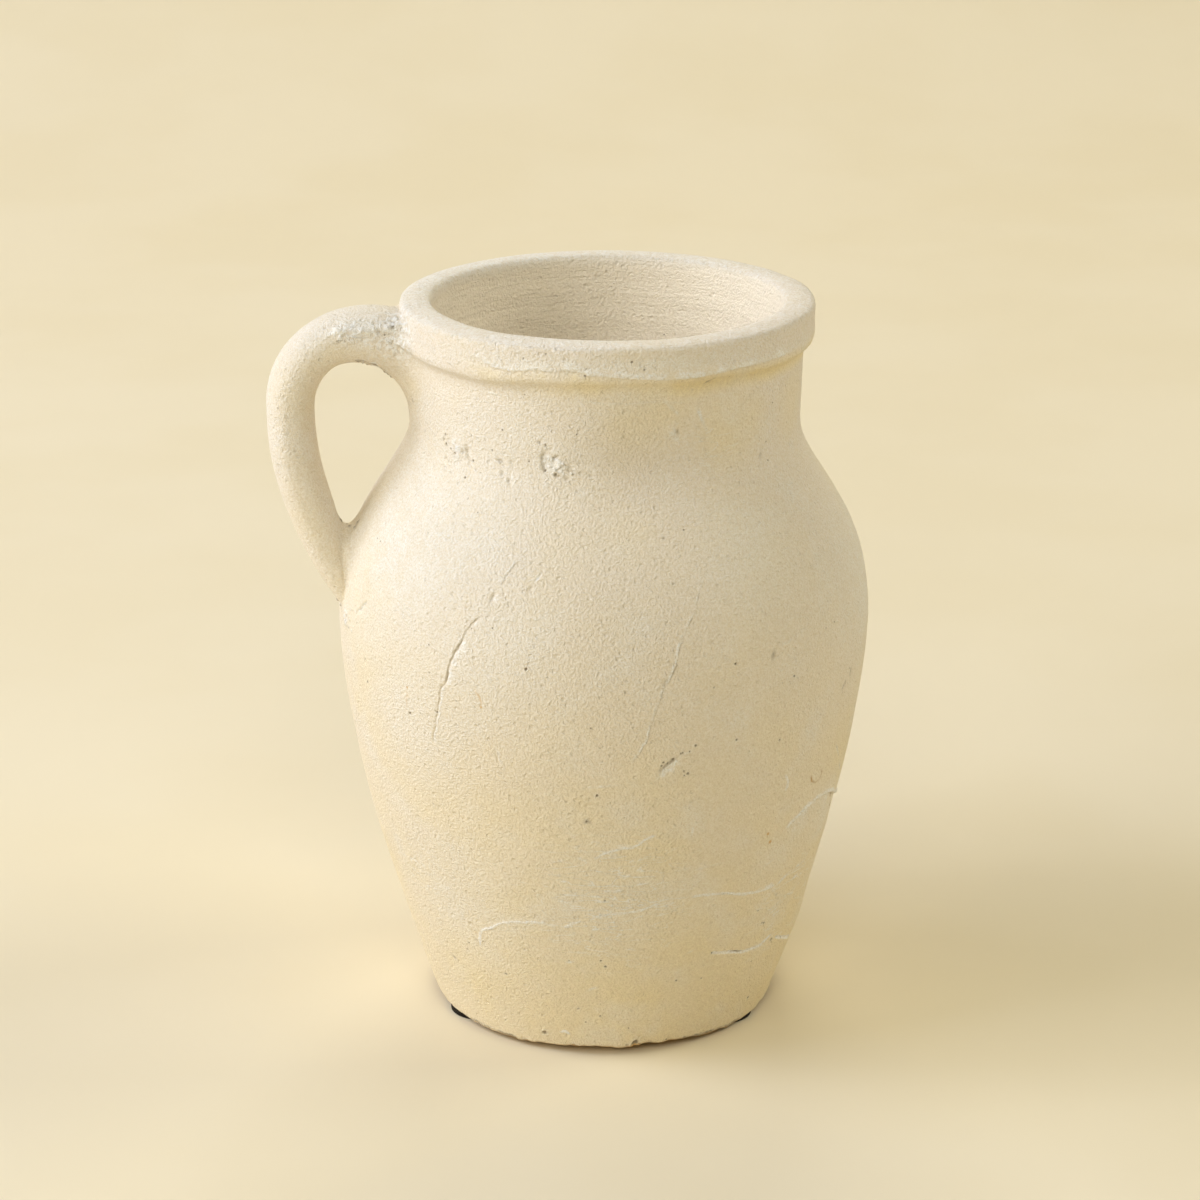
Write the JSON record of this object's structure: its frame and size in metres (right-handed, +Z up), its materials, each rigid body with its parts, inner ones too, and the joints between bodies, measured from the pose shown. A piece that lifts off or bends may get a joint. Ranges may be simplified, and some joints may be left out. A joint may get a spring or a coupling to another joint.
{
  "type": "one-handled vase",
  "caption": "Jug-shaped vase of whitewashed terracotta with a collar rim, a strap handle at one side and stick-on feet.",
  "frame": {"origin": "on the surface that the feet stand on, under the middle of the whole vase's length and width, handle included; the pot's own axis is 10.7 mm towards +X from it", "axes": "+Z up along the pot's axis to the mouth, -X towards the handle, Y across the handle"},
  "size_m": [0.1946, 0.1732, 0.24],
  "materials": {
    "whitewashed_clay": "matte, chalky, fine sandy grain",
    "joint_clay": "matte, rough, finger-smoothed",
    "black_rubber": "matte",
    "foot_glue": "satin adhesive film"
  },
  "bodies": {
    "root": {"vase_body": "whitewashed_clay", "handle": "whitewashed_clay", "upper_joint_clay": "joint_clay", "lower_joint_clay": "joint_clay", "foot_front_left": "black_rubber", "foot_front_right": "black_rubber", "foot_back": "black_rubber", "foot_glue_front_left": "foot_glue", "foot_glue_front_right": "foot_glue", "foot_glue_back": "foot_glue"}
  },
  "joints": []
}
